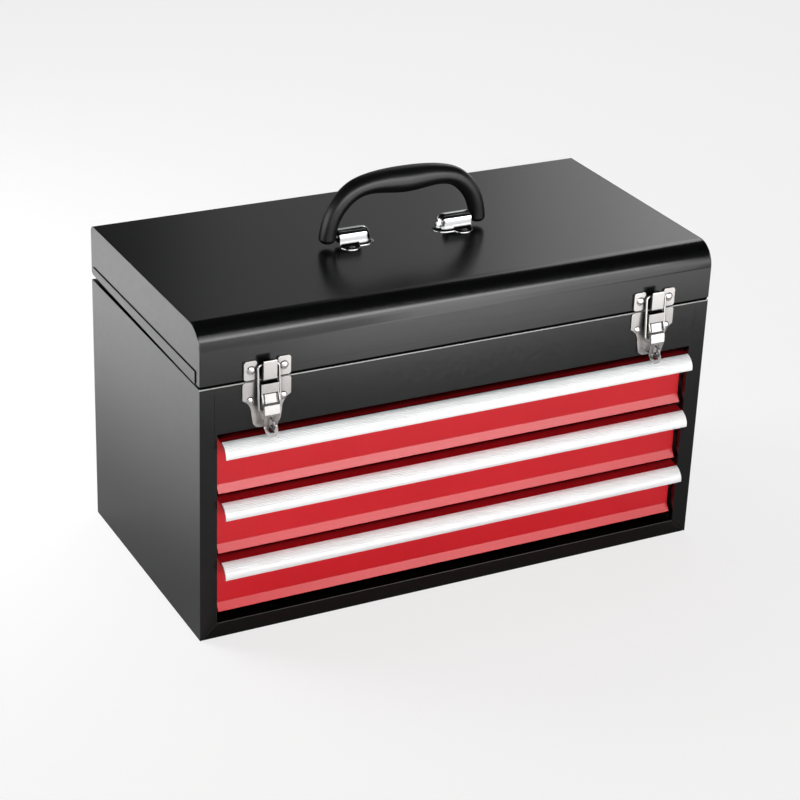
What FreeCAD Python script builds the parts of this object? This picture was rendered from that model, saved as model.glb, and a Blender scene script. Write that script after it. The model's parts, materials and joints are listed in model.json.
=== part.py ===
import FreeCAD, Part
import Sketcher
import math
import os

# Portable steel tool box: a sheet-steel case with three drawers on ball
# slides, a compartment under a hinged lid, two draw latches and a swinging
# carry handle.  Millimetres.  +X is the viewer's right, -Y the front, +Z up.
# The origin is the centre of the underside that the box stands on.

doc = FreeCAD.newDocument("ToolBox")

# ---------------------------------------------------------------- dimensions
SIZES = [
    ("case_width", 520.0), ("case_depth", 265.0), ("case_height", 250.0),
    ("lid_top", 305.0), ("sheet", 1.0),
    ("lid_front_bottom", 251.6), ("lid_rear_bottom", 257.0),
    ("lid_front_radius", 22.0), ("lid_rear_radius", 6.0),
    ("open_half", 243.5), ("open_top", 204.5), ("rail_top", 15.0),
    ("floor_bottom", 205.6),
    ("drawer_base", 24.4), ("drawer_pitch", 60.0), ("drawer_rise", 55.2),
    ("face_y", -124.6), ("face_half", 241.0), ("pull_half", 240.6),
    ("pull_radius", 12.2), ("pull_wall", 1.6),
    ("tray_half", 233.5), ("tray_front", -123.5), ("tray_rear", 116.0),
    ("tray_wall", 0.9), ("tray_low", 3.6), ("tray_high", 48.0),
    ("slide_mid", 26.0), ("slide_front", -113.5), ("slide_rear", 111.0),
    ("ball_radius", 1.1), ("ball_height", 11.15), ("ball_x", 240.7),
    ("cage_front", -43.0), ("cage_length", 70.0),
    ("hinge_y", 136.0), ("hinge_z", 254.2), ("knuckle_radius", 3.5),
    ("hinge_pin_radius", 2.4), ("hinge_bore_radius", 2.45),
    ("knuckle_length", 23.9), ("knuckle_step", 24.3), ("hinge_half", 255.15),
    ("latch_x", 197.5), ("latch_half", 23.0), ("latch_plate", 1.2),
    ("pivot_out", 7.5), ("pivot_z", 233.5), ("bail_out", 7.2),
    ("bail_z", 224.4), ("bar_out", 3.8), ("bar_z", 265.6),
    ("bail_half", 10.0), ("bail_radius", 1.15), ("lever_half", 7.2),
    ("tongue_front", 8.5), ("tongue_half", 6.5),
    ("handle_z", 313.6), ("handle_x", 77.0), ("bracket_radius", 7.4),
    ("bracket_bore", 6.2), ("handle_pin", 5.9), ("handle_shank", 3.4),
    ("rivet_shank", 2.0), ("rivet_head", 3.4), ("rivet_rise", 1.8),
    ("keeper_head", 4.2), ("keeper_rise", 2.3), ("keeper_plate", 2.2),
    ("base_head", 3.9), ("base_rise", 2.1),
]
dim = doc.addObject("Spreadsheet::Sheet", "Dim")
for row, (alias, value) in enumerate(SIZES, start=1):
    dim.set("A%d" % row, alias)
    dim.set("B%d" % row, repr(value))
    dim.setAlias("B%d" % row, alias)
doc.recompute()


class Size:
    """A number together with the expression that gives it."""

    def __init__(self, value, text):
        self.value = float(value)
        self.text = text

    def __add__(self, other):
        other = size(other)
        return Size(self.value + other.value, "(%s + %s)" % (self.text, other.text))

    __radd__ = __add__

    def __sub__(self, other):
        other = size(other)
        return Size(self.value - other.value, "(%s - %s)" % (self.text, other.text))

    def __rsub__(self, other):
        return size(other) - self

    def __mul__(self, other):
        other = size(other)
        return Size(self.value * other.value, "(%s * %s)" % (self.text, other.text))

    __rmul__ = __mul__

    def __neg__(self):
        return Size(-self.value, "(0 - %s)" % self.text)


def size(value):
    if isinstance(value, Size):
        return value
    return Size(value, "(%.6f)" % float(value))


D = {alias: Size(value, "Dim." + alias) for alias, value in SIZES}
V = dict(SIZES)

nodes = []


def keep(obj, label):
    obj.Label = label
    nodes.append(obj)
    return obj


def bind(obj, prop, value):
    obj.setExpression(prop, size(value).text)


def put(obj, x, y, z, rotation=None):
    x, y, z = size(x), size(y), size(z)
    rot = rotation if rotation is not None else FreeCAD.Rotation()
    obj.Placement = FreeCAD.Placement(FreeCAD.Vector(x.value, y.value, z.value), rot)
    bind(obj, "Placement.Base.x", x)
    bind(obj, "Placement.Base.y", y)
    bind(obj, "Placement.Base.z", z)


# ------------------------------------------------------------ simple shapes
def block(name, x0, x1, y0, y1, z0, z1):
    obj = doc.addObject("Part::Box", name)
    for prop, lo, hi in (("Length", x0, x1), ("Width", y0, y1), ("Height", z0, z1)):
        span = size(hi) - size(lo)
        setattr(obj, prop, span.value)
        bind(obj, prop, span)
    put(obj, x0, y0, z0)
    return obj


def rod(name, axis, radius, lo, hi, c1, c2):
    """Cylinder along axis from lo to hi; c1, c2 are its other coordinates."""
    obj = doc.addObject("Part::Cylinder", name)
    length = size(hi) - size(lo)
    obj.Radius = size(radius).value
    obj.Height = length.value
    bind(obj, "Radius", radius)
    bind(obj, "Height", length)
    if axis == "x":
        put(obj, lo, c1, c2, FreeCAD.Rotation(FreeCAD.Vector(0, 1, 0), 90))
    elif axis == "y":
        put(obj, c1, lo, c2, FreeCAD.Rotation(FreeCAD.Vector(1, 0, 0), -90))
    else:
        put(obj, c1, c2, lo)
    return obj


def ball(name, radius, x, y, z):
    obj = doc.addObject("Part::Sphere", name)
    obj.Radius = size(radius).value
    bind(obj, "Radius", radius)
    put(obj, x, y, z)
    return obj


def fuse(name, parts):
    obj = doc.addObject("Part::MultiFuse", name)
    obj.Shapes = parts
    return obj


def cut(name, base, tool):
    obj = doc.addObject("Part::Cut", name)
    obj.Base = base
    obj.Tool = tool
    return obj


def common(name, parts):
    obj = doc.addObject("Part::MultiCommon", name)
    obj.Shapes = parts
    return obj


def together(name, parts):
    obj = doc.addObject("Part::Compound", name)
    obj.Links = parts
    return obj


def mirrored(name, source):
    obj = doc.addObject("Part::Mirroring", name)
    obj.Source = source
    obj.Normal = FreeCAD.Vector(1, 0, 0)
    obj.Base = FreeCAD.Vector(0, 0, 0)
    return obj


def plane(body, role):
    for feature in body.Origin.OriginFeatures:
        if feature.Role == role:
            return feature


def outline(sketch, points):
    """Closed outline.  A point is (u, v) or (u, v, radius, turn): then an arc
    of that radius runs to the next point, turn being "ccw" or "cw"."""
    n = len(points)
    pos = [(size(p[0]), size(p[1])) for p in points]
    geo, ends = [], []
    for i, p in enumerate(points):
        a = FreeCAD.Vector(pos[i][0].value, pos[i][1].value, 0)
        b = FreeCAD.Vector(pos[(i + 1) % n][0].value, pos[(i + 1) % n][1].value, 0)
        if len(p) == 2:
            geo.append(Part.LineSegment(a, b))
            ends.append((1, 2))
        else:
            r = size(p[2]).value
            mid, run = (a + b) * 0.5, b - a
            side = FreeCAD.Vector(-run.y, run.x, 0)
            side.normalize()
            if p[3] == "cw":
                side = side * -1
            c = mid + side * math.sqrt(max(r * r - run.Length ** 2 / 4, 0.0))
            s, e = (a, b) if p[3] == "ccw" else (b, a)
            circle = Part.Circle(c, FreeCAD.Vector(0, 0, 1), r)
            a0 = math.atan2(s.y - c.y, s.x - c.x)
            a1 = math.atan2(e.y - c.y, e.x - c.x)
            if a1 < a0:
                a1 += 2 * math.pi
            geo.append(Part.ArcOfCircle(circle, a0, a1))
            ends.append((1, 2) if p[3] == "ccw" else (2, 1))
    first = sketch.addGeometry(geo, False)[0]
    rules, texts = [], []
    for i in range(n):
        j = (i + 1) % n
        rules.append(Sketcher.Constraint("Coincident", first + i, ends[i][1], first + j, ends[j][0]))
        texts.append(None)
        rules.append(Sketcher.Constraint("DistanceX", -1, 1, first + i, ends[i][0], pos[i][0].value))
        texts.append(pos[i][0].text)
        rules.append(Sketcher.Constraint("DistanceY", -1, 1, first + i, ends[i][0], pos[i][1].value))
        texts.append(pos[i][1].text)
        if len(points[i]) > 2:
            rules.append(Sketcher.Constraint("Radius", first + i, size(points[i][2]).value))
            texts.append(size(points[i][2]).text)
    start = sketch.ConstraintCount
    sketch.addConstraint(rules)
    for k, text in enumerate(texts):
        if text and "Dim." in text:
            sketch.setExpression("Constraints[%d]" % (start + k), text)


def ring(sketch, u, v, radius):
    """A full circle at u, v."""
    u, v, radius = size(u), size(v), size(radius)
    g = sketch.addGeometry(Part.Circle(FreeCAD.Vector(u.value, v.value, 0),
                                       FreeCAD.Vector(0, 0, 1), radius.value), False)
    start = sketch.ConstraintCount
    sketch.addConstraint([
        Sketcher.Constraint("DistanceX", -1, 1, g, 3, u.value),
        Sketcher.Constraint("DistanceY", -1, 1, g, 3, v.value),
        Sketcher.Constraint("Radius", g, radius.value)])
    for k, item in enumerate((u, v, radius)):
        if "Dim." in item.text:
            sketch.setExpression("Constraints[%d]" % (start + k), item.text)


def sketch_on(body, role, offset, name):
    sk = body.newObject("Sketcher::SketchObject", name)
    sk.AttachmentSupport = [(plane(body, role), "")]
    sk.MapMode = "FlatFace"
    offset = size(offset)
    sk.AttachmentOffset = FreeCAD.Placement(FreeCAD.Vector(0, 0, offset.value), FreeCAD.Rotation())
    sk.setExpression("AttachmentOffset.Base.z", offset.text)
    return sk


ROLE = {"x": ("YZ_Plane", 1), "y": ("XZ_Plane", -1), "z": ("XY_Plane", 1)}


def prism(name, axis, lo, hi, points, circles=()):
    """A sheet-metal section or plate: an outline padded along axis from lo to
    hi.  Outlines are (y, z) for x, (x, z) for y and (x, y) for z."""
    body = doc.addObject("PartDesign::Body", name)
    role, sign = ROLE[axis]
    lo, hi = size(lo), size(hi)
    offset = lo if sign > 0 else -hi
    sk = sketch_on(body, role, offset, name + "_outline")
    outline(sk, points)
    for c in circles:
        ring(sk, *c)
    pad = body.newObject("PartDesign::Pad", name + "_pad")
    pad.Profile = sk
    span = hi - lo
    pad.Length = span.value
    bind(pad, "Length", span)
    body.Tip = pad
    return body


def drill(name, base, bores):
    """Cut round holes; bores are (axis, radius, lo, hi, c1, c2)."""
    tools = [rod("%s_hole%d" % (name, i), *b) for i, b in enumerate(bores)]
    tool = tools[0] if len(tools) == 1 else fuse(name + "_holes", tools)
    return cut(name, base, tool)


hw = D["case_width"] * 0.5
hd = D["case_depth"] * 0.5
t = D["sheet"]
front = -hd
H = D["case_height"]
oh = D["open_half"]
ot = D["open_top"]
rt = D["rail_top"]
lx = D["latch_x"]

# rivet positions, shared by the plates they pass through
LATCH_U = 15.6
BASE_RIVET_Z = 232.0
KEEPER_RIVET_Z = 261.5
HINGE_X = [-234.0, -156.0, -78.0, 0.0, 78.0, 156.0, 234.0]
CASE_HINGE_Z = 241.5
LID_HINGE_Z = 267.5
SLIDE_Y = [-107.5, 102.0]
shank_bore = D["rivet_shank"] + 0.05

# ------------------------------------------------------------------ the case
# Side panel: one folded sheet with a front stile, its return, a top flange
# and a rear flange.  The left one is drawn, the right one is its mirror.
side_wall = block("side_wall", -hw, -hw + t, front, hd, 0, H)
side_stile = prism("side_stile", "y", front, front + t, [
    (-hw, 0), (-hw + 1.1, 0), (-oh, rt + 0.4), (-oh, ot), (-oh - 2.65, ot),
    (-oh - 2.65, H - 4.6), (-oh - 7.25, H), (-hw, H)])
side_return = block("side_return", -oh - t, -oh, front + 0.5, front + 6.0, rt + 0.4, ot)
side_top = block("side_top", -hw + 0.5, -hw + 9, front + 0.5, hd - t - 0.1, H - t, H)
side_rear = block("side_rear", -hw + 0.5, -hw + 13, hd - 2.1 * t, hd - 1.1 * t, 2.2, H - 1.5)
side_left = fuse("side_left", [side_wall, side_stile, side_return, side_top, side_rear])
keep(side_left, "side_panel_left")
keep(mirrored("side_right", side_left), "side_panel_right")

back_sheet = block("back_sheet", -hw + 1.1, hw - 1.1, hd - t, hd, 0, H)
back_flange = block("back_flange", -hw + 9.5, hw - 9.5, hd - 9, hd - 0.5, H - t, H)
back = drill("back_drilled", fuse("back_folded", [back_sheet, back_flange]),
             [("y", shank_bore, hd - 3, hd + 1, x, CASE_HINGE_Z) for x in HINGE_X])
keep(back, "back_panel")

floor_sheet = block("floor_sheet", -hw + 1.1, hw - 1.1, front + 1.1, hd - 1.1, 0, t)
floor_left = block("floor_left", -hw + 1.1, -hw + 2.1, front + 8, hd - 8, 0.5, 12)
floor_right = block("floor_right", hw - 2.1, hw - 1.1, front + 8, hd - 8, 0.5, 12)
keep(fuse("floor_folded", [floor_sheet, floor_left, floor_right]), "bottom_panel")

rail_face = prism("rail_face", "y", front, front + t, [
    (-hw + 1.3, 0), (hw - 1.3, 0), (oh + 0.05, rt), (-oh - 0.05, rt)])
rail_return = block("rail_return", -oh + 1, oh - 1, front + 0.5, front + 11, rt - t, rt)
keep(fuse("rail_folded", [rail_face, rail_return]), "front_rail")

upper_face = prism("upper_face", "y", front, front + t, [
    (-oh - 2.5, ot), (oh + 2.5, ot), (oh + 2.5, H - 4.6), (oh + 7.1, H),
    (-oh - 7.1, H), (-oh - 2.5, H - 4.6)])
upper_low = block("upper_low", -oh - 2.3, oh + 2.3, front + 0.5, front + 13, ot, ot + t)
upper_high = block("upper_high", -oh - 6, oh + 6, front + 0.5, front + 11, H - t, H)
upper = drill("upper_drilled", fuse("upper_folded", [upper_face, upper_low, upper_high]),
              [("y", shank_bore, front - 1, front + 3, s * lx + u, BASE_RIVET_Z)
               for s in (-1, 1) for u in (-LATCH_U, LATCH_U)])
keep(upper, "front_upper_panel")

keep(block("compartment_sheet", -hw + 1.1, hw - 1.1, front + 1.1, hd - 2.2,
           D["floor_bottom"], D["floor_bottom"] + t), "compartment_floor")


# Upright channels behind the stiles carry the slides.
def post(name, y0, y1):
    inner = -oh - 2.5
    outer = -hw + 2.3
    shell = cut(name + "_channel",
                block(name + "_outer", outer, inner, y0, y1, 1.2, ot + 0.9),
                block(name + "_inner", outer - 1, inner - 1.2, y0 + 1.2, y1 - 1.2, 0, ot + 2))
    return shell


front_post = post("front_post", front + 3.5, front + 31)
rear_post = post("rear_post", 92.0, 112.0)
BASES = [D["drawer_base"] + D["drawer_pitch"] * k for k in (2, 1, 0)]
mids = [b + D["slide_mid"] for b in BASES]
posts_left = drill("posts_left", together("posts_pair", [front_post, rear_post]),
                   [("x", shank_bore, -oh - 6, -oh, y, m) for m in mids for y in SLIDE_Y])
keep(posts_left, "slide_posts_left")
keep(mirrored("posts_right", posts_left), "slide_posts_right")

# Fixed slide rails: a lipped channel for each drawer on each side.
outer_rails = []
web_out = oh + 2.5
for k, m in enumerate(mids):
    outer_rails.append(prism("outer_rail_%d" % (k + 1), "y", D["slide_front"], D["slide_rear"], [
        (-web_out, m - 13.5), (-oh + 6, m - 13.5), (-oh + 6, m - 11.3), (-oh + 5, m - 11.3),
        (-oh + 5, m - 12.3), (-web_out + 1.2, m - 12.3), (-web_out + 1.2, m + 12.3),
        (-oh + 5, m + 12.3), (-oh + 5, m + 11.3), (-oh + 6, m + 11.3), (-oh + 6, m + 13.5),
        (-web_out, m + 13.5)]))
rails_left = drill("rails_left", together("rails_three", outer_rails),
                   [("x", shank_bore, -oh - 4, -oh, y, m) for m in mids for y in SLIDE_Y])
keep(rails_left, "slide_rails_left")
keep(mirrored("rails_right", rails_left), "slide_rails_right")

rail_rivets = []
for s in (-1, 1):
    for k, m in enumerate(mids):
        for j, y in enumerate(SLIDE_Y):
            tag = "%s%d%d" % ("l" if s < 0 else "r", k, j)
            lo, hi = (-oh - 3.7, -oh - 1.3) if s < 0 else (oh + 1.3, oh + 3.7)
            lo2, hi2 = (-oh - 4.8, -oh - 3.7) if s < 0 else (oh + 3.7, oh + 4.8)
            rail_rivets.append(fuse("rail_rivet_" + tag, [
                rod("rail_shank_" + tag, "x", D["rivet_shank"], lo, hi, y, m),
                rod("rail_tail_" + tag, "x", 3.0, lo2, hi2, y, m)]))
keep(together("rail_rivet_set", rail_rivets), "rail_rivets")

# -------------------------------------------------------------- piano hinge
hy, hz, kr = D["hinge_y"], D["hinge_z"], D["knuckle_radius"]


def hinge_leaf(name, first, count, z0, z1, low):
    """Flat leaf on the rear face with rolled knuckles at every other step."""
    body = doc.addObject("PartDesign::Body", name)
    sk = sketch_on(body, "XZ_Plane", -(hd + t), name + "_flat")
    outline(sk, [(-D["hinge_half"], z0), (D["hinge_half"], z0), (D["hinge_half"], z1), (-D["hinge_half"], z1)])
    pad = body.newObject("PartDesign::Pad", name + "_sheet")
    pad.Profile = sk
    pad.Length = t.value
    bind(pad, "Length", t)
    roll = sketch_on(body, "YZ_Plane", first, name + "_roll")
    # a strip of the sheet runs from the leaf into each rolled knuckle
    if low:
        outline(roll, [(hd, z1 - 1), (hd + t, z1 - 1), (hd + t, hz - 0.9), (hd, hz)])
    else:
        outline(roll, [(hd, hz), (hd + t, hz + 0.9), (hd + t, z0 + 1), (hd, z0 + 1)])
    tab = body.newObject("PartDesign::Pad", name + "_tab")
    tab.Profile = roll
    tab.Length = V["knuckle_length"]
    bind(tab, "Length", D["knuckle_length"])
    barrel = sketch_on(body, "YZ_Plane", first, name + "_barrel")
    ring(barrel, hy, hz, kr)
    ring(barrel, hy, hz, D["hinge_bore_radius"])
    knuckle = body.newObject("PartDesign::Pad", name + "_knuckle")
    knuckle.Profile = barrel
    knuckle.Length = V["knuckle_length"]
    bind(knuckle, "Length", D["knuckle_length"])
    doc.recompute()
    row = body.newObject("PartDesign::LinearPattern", name + "_row")
    row.Originals = [tab, knuckle]
    axis = None
    for feature in body.Origin.OriginFeatures:
        if feature.Role == "X_Axis":
            axis = feature
    row.Direction = (axis, [""])
    row.Occurrences = count
    row.Length = (count - 1) * 2 * V["knuckle_step"]
    bind(row, "Length", D["knuckle_step"] * (2 * (count - 1)))
    body.Tip = row
    return body


case_leaf = hinge_leaf("case_leaf", -D["hinge_half"] + 0.2, 11, 234.0, 250.2, True)
case_leaf_drilled = drill("case_leaf_drilled", case_leaf,
                          [("y", shank_bore, hd - 1, hd + 3, x, CASE_HINGE_Z) for x in HINGE_X])
keep(case_leaf_drilled, "hinge_leaf_case")
lid_leaf = hinge_leaf("lid_leaf", -D["hinge_half"] + 0.2 + D["knuckle_step"], 10, 258.2, 275.0, False)
lid_leaf_drilled = drill("lid_leaf_drilled", lid_leaf,
                         [("y", shank_bore, hd - 1, hd + 3, x, LID_HINGE_Z) for x in HINGE_X])
keep(rod("hinge_rod", "x", D["hinge_pin_radius"], -D["hinge_half"], D["hinge_half"], hy, hz), "hinge_pin")


def y_rivet(name, x, z, y_head, y_tail, out, head=None, rise=None):
    """Rivet through panels along Y: domed head at y_head, upset tail at
    y_tail.  out is -1 when the head faces the front, +1 the rear."""
    head = size(head if head is not None else D["rivet_head"])
    rise = size(rise if rise is not None else D["rivet_rise"])
    y_head, y_tail = size(y_head), size(y_tail)
    lo, hi = (y_head, y_tail) if out < 0 else (y_tail, y_head)
    shank = rod(name + "_shank", "y", D["rivet_shank"], lo, hi, x, z)
    # dome: slice of a ball
    big = (head.value ** 2 + rise.value ** 2) / (2 * rise.value)
    cap_r = (head * head + rise * rise) * Size(1.0 / (2 * rise.value), "(1 / (2 * %s))" % rise.text)
    centre = y_head + (cap_r - rise) * (1 if out < 0 else -1)
    dome = ball(name + "_dome", cap_r, x, centre, z)
    if out < 0:
        slab = rod(name + "_slab", "y", head, y_head - rise - 1, y_head, x, z)
        tail = rod(name + "_tail", "y", 3.0, y_tail, y_tail + 1.2, x, z)
    else:
        slab = rod(name + "_slab", "y", head, y_head, y_head + rise + 1, x, z)
        tail = rod(name + "_tail", "y", 3.0, y_tail - 1.2, y_tail, x, z)
    return fuse(name, [shank, common(name + "_head", [dome, slab]), tail])


keep(together("case_hinge_rivets", [
    y_rivet("case_hinge_rivet_%d" % i, x, CASE_HINGE_Z, hd + t, hd - t, 1, 3.0) for i, x in enumerate(HINGE_X)]),
    "hinge_rivets_case")

# ---------------------------------------------------------- draw latches
lp = D["latch_plate"]
pz, bz = D["pivot_z"], D["bail_z"]
py = front - D["pivot_out"]
by = front - D["bail_out"]


def latch_base(name, s):
    """Riveted plate with two lugs for the lever pin and a bridge over them."""
    x = s * lx
    plate = prism(name + "_plate", "y", front - lp, front, [
        (x - 21, 249.8), (x - 23, 247.8), (x - 23, 233.0, 15, "cw"), (x - 14.6, 219.0),
        (x - 13.4, 211.5, 8, "ccw"), (x - 6.8, 205.0), (x + 6.8, 205.0, 8, "ccw"), (x + 13.4, 211.5),
        (x + 14.6, 219.0, 15, "cw"), (x + 23, 233.0), (x + 23, 247.8), (x + 21, 249.8)])
    lug = [(front - lp + 0.5, 231.0), (py, pz - 3.6, 3.6, "cw"), (py - 3.6, pz), (front - 8.6, 240.0),
           (front - 8.6, 249.0), (front - lp + 0.5, 249.0)]
    left = prism(name + "_lug_a", "x", x - 8.4, x - 7.4, lug)
    right = prism(name + "_lug_b", "x", x + 7.4, x + 8.4, lug)
    bridge = block(name + "_bridge", x - 8.4, x + 8.4, front - 8.6, front - 7.4, 240.2, 249.0)
    whole = fuse(name + "_whole", [plate, left, right, bridge])
    return drill(name + "_done", whole, [
        ("x", 1.52, x - 12, x + 12, py, pz),
        ("y", shank_bore, front - 3, front + 1, x - LATCH_U, BASE_RIVET_Z),
        ("y", shank_bore, front - 3, front + 1, x + LATCH_U, BASE_RIVET_Z),
        ("y", 1.25, front - 3, front + 1, x, 217.0),
        ("y", 1.25, front - 3, front + 1, x, 206.8)])


keep(latch_base("base_l", -1), "latch_base_left")
keep(latch_base("base_r", 1), "latch_base_right")


def staple(name, s):
    """Padlock staple: a wire loop in a vertical plane."""
    x = s * lx
    body = doc.addObject("PartDesign::Body", name)
    path = sketch_on(body, "YZ_Plane", x, name + "_path")
    zt, zb, r = 217.0, 206.8, 5.1
    y0 = front
    yc = front - 12.0
    zc = (zt + zb) / 2
    a = FreeCAD.Vector
    g0 = path.addGeometry(Part.LineSegment(a(y0.value, zt, 0), a(yc.value, zt, 0)), False)
    g1 = path.addGeometry(Part.ArcOfCircle(Part.Circle(a(yc.value, zc, 0), a(0, 0, 1), r),
                                           math.pi / 2, 3 * math.pi / 2), False)
    g2 = path.addGeometry(Part.LineSegment(a(yc.value, zb, 0), a(y0.value, zb, 0)), False)
    path.addConstraint([
        Sketcher.Constraint("Coincident", g0, 2, g1, 1), Sketcher.Constraint("Coincident", g1, 2, g2, 1),
        Sketcher.Constraint("DistanceX", -1, 1, g0, 1, y0.value), Sketcher.Constraint("DistanceY", -1, 1, g0, 1, zt),
        Sketcher.Constraint("DistanceX", -1, 1, g0, 2, yc.value), Sketcher.Constraint("DistanceY", -1, 1, g0, 2, zt),
        Sketcher.Constraint("DistanceX", -1, 1, g2, 1, yc.value), Sketcher.Constraint("DistanceY", -1, 1, g2, 1, zb),
        Sketcher.Constraint("DistanceX", -1, 1, g2, 2, y0.value), Sketcher.Constraint("DistanceY", -1, 1, g2, 2, zb)])
    end = sketch_on(body, "XZ_Plane", -front, name + "_end")
    ring(end, x, zt, 1.2)
    pipe = body.newObject("PartDesign::AdditivePipe", name + "_wire")
    pipe.Profile = end
    pipe.Spine = path
    body.Tip = pipe
    return body


keep(staple("staple_l", -1), "padlock_staple_left")
keep(staple("staple_r", 1), "padlock_staple_right")
keep(together("pivot_pins", [rod("pivot_pin_l", "x", 1.5, -lx - 8.4, -lx + 8.4, py, pz),
                             rod("pivot_pin_r", "x", 1.5, lx - 8.4, lx + 8.4, py, pz)]), "latch_pivot_pins")
keep(together("base_rivets", [
    y_rivet("base_rivet_%d%d" % (i, j), s * lx + u, BASE_RIVET_Z, front - lp, front + t, -1,
            D["base_head"], D["base_rise"])
    for i, s in enumerate((-1, 1)) for j, u in enumerate((-LATCH_U, LATCH_U))]), "latch_base_rivets")


def lever(name, s):
    """Latch lever: a bent strap with two cheeks, slotted for the staple."""
    x = s * lx
    f = front
    strap = prism(name + "_strap", "x", x - D["lever_half"], x + D["lever_half"], [
        (f - 8.2, 239.2), (f - 10.3, 231.4), (f - 12.6, 229.9), (f - 13.2, 226.2), (f - 13.6, 221.6), (f - 12.8, 219.2),
        (f - 9.9, 208.6), (f - 15.6, 201.0), (f - 14.7, 200.3), (f - 8.5, 208.3), (f - 11.4, 219.6), (f - 12.2, 221.8),
        (f - 11.9, 226.0), (f - 11.5, 228.8), (f - 9.2, 230.5), (f - 7.2, 238.7)])
    shape = prism(name + "_shape", "y", f - 18, f - 2, [
        (x - 5.3, 240), (x - 5.3, 231.8), (x - 7.2, 230.3), (x - 7.2, 219), (x - 6.2, 206.6, 6.2, "ccw"),
        (x + 6.2, 206.6), (x + 7.2, 219), (x + 7.2, 230.3), (x + 5.3, 231.8), (x + 5.3, 240)])
    trimmed = common(name + "_trimmed", [strap, shape])
    side = [(f - 7.6, 238.6), (f - 4.6, 236.2), (f - 4.2, 231.0), (f - 4.4, 222.0), (f - 12.2, 220.9),
            (f - 12.5, 225.8), (f - 12.0, 229.0), (f - 9.8, 231.0)]
    a = prism(name + "_cheek_a", "x", x - D["lever_half"], x - D["lever_half"] + 1.1, side)
    b = prism(name + "_cheek_b", "x", x + D["lever_half"] - 1.1, x + D["lever_half"], side)
    slot = block(name + "_slot", x - 2.1, x + 2.1, f - 20, f - 2, 203.6, 218.8)
    whole = cut(name + "_slotted", fuse(name + "_whole", [trimmed, a, b]), slot)
    return drill(name + "_done", whole, [("x", 1.58, x - 12, x + 12, py, pz),
                                        ("x", 1.25, x - 12, x + 12, by, bz)])


keep(lever("lever_l", -1), "latch_lever_left")
keep(lever("lever_r", 1), "latch_lever_right")


def bail(name, s):
    """Spring-wire bail.  It is drawn upright about its pivot and then leaned
    back so that its bar lies in the keeper's hook."""
    x = s * lx
    rise = D["bar_z"].value - bz.value
    lean = D["bail_out"].value - D["bar_out"].value
    length = math.hypot(rise, lean)
    half, end, r = V["bail_half"], 6.3, 3.6
    body = doc.addObject("PartDesign::Body", name)
    path = sketch_on(body, "XZ_Plane", 0, name + "_path")
    a = FreeCAD.Vector
    up = math.pi / 2
    top = length
    q = 2.0
    segs = [
        Part.LineSegment(a(-end, 0, 0), a(-half + q, 0, 0)),
        Part.ArcOfCircle(Part.Circle(a(-half + q, q, 0), a(0, 0, 1), q), math.pi, 3 * up),
        Part.LineSegment(a(-half, q, 0), a(-half, top - r, 0)),
        Part.ArcOfCircle(Part.Circle(a(-half + r, top - r, 0), a(0, 0, 1), r), up, math.pi),
        Part.LineSegment(a(-half + r, top, 0), a(half - r, top, 0)),
        Part.ArcOfCircle(Part.Circle(a(half - r, top - r, 0), a(0, 0, 1), r), 0, up),
        Part.LineSegment(a(half, top - r, 0), a(half, q, 0)),
        Part.ArcOfCircle(Part.Circle(a(half - q, q, 0), a(0, 0, 1), q), 3 * up, 4 * up),
        Part.LineSegment(a(half - q, 0, 0), a(end, 0, 0))]
    ids = path.addGeometry(segs, False)
    ends = [(1, 2), (2, 1), (1, 2), (2, 1), (1, 2), (2, 1), (1, 2), (2, 1), (1, 2)]
    rules = [Sketcher.Constraint("Coincident", ids[i], ends[i][1], ids[i + 1], ends[i + 1][0]) for i in range(8)]
    path.addConstraint(rules)
    wire = sketch_on(body, "YZ_Plane", -end, name + "_end")
    ring(wire, 0, 0, D["bail_radius"])
    pipe = body.newObject("PartDesign::AdditivePipe", name + "_wire")
    pipe.Profile = wire
    pipe.Spine = path
    body.Tip = pipe
    # leaning back towards the lid is a turn that carries +Z towards +Y
    angle = -math.degrees(math.atan2(lean, rise))
    put(body, x, by, bz, FreeCAD.Rotation(FreeCAD.Vector(1, 0, 0), angle))
    return body


keep(bail("bail_l", -1), "latch_bail_left")
keep(bail("bail_r", 1), "latch_bail_right")

# ------------------------------------------------------------------ the lid
lt, fr, rr = D["lid_top"], D["lid_front_radius"], D["lid_rear_radius"]
lf, lr = D["lid_front_bottom"], D["lid_rear_bottom"]
lid_sheet = prism("lid_sheet", "x", -hw + t, hw - t, [
    (front, lf), (front + t, lf), (front + t, lt - fr, fr - t, "cw"), (front + fr, lt - t),
    (hd - rr, lt - t, rr - t, "cw"), (hd - t, lt - rr), (hd - t, lr), (hd, lr), (hd, lt - rr, rr, "ccw"),
    (hd - rr, lt), (front + fr, lt, fr, "ccw"), (front, lt - fr)])
lid_hem = block("lid_hem", -hw + 1.2, hw - 1.2, front + t * 0.5, front + 2 * t, H + 0.1, 262.5)
lid_folded = fuse("lid_folded", [lid_sheet, lid_hem])
HX, HY = 58.8, 12.8
lid_drilled = drill("lid_drilled", lid_folded,
                    [("y", shank_bore, front - 1, front + 4, s * lx + u, KEEPER_RIVET_Z)
                     for s in (-1, 1) for u in (-LATCH_U, LATCH_U)]
                    + [("y", shank_bore, hd - 3, hd + 1, x, LID_HINGE_Z) for x in HINGE_X]
                    + [("z", shank_bore, lt - 3, lt + 2, sx * HX, sy * HY) for sx in (-1, 1) for sy in (-1, 1)])
keep(lid_drilled, "lid_shell")

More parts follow.
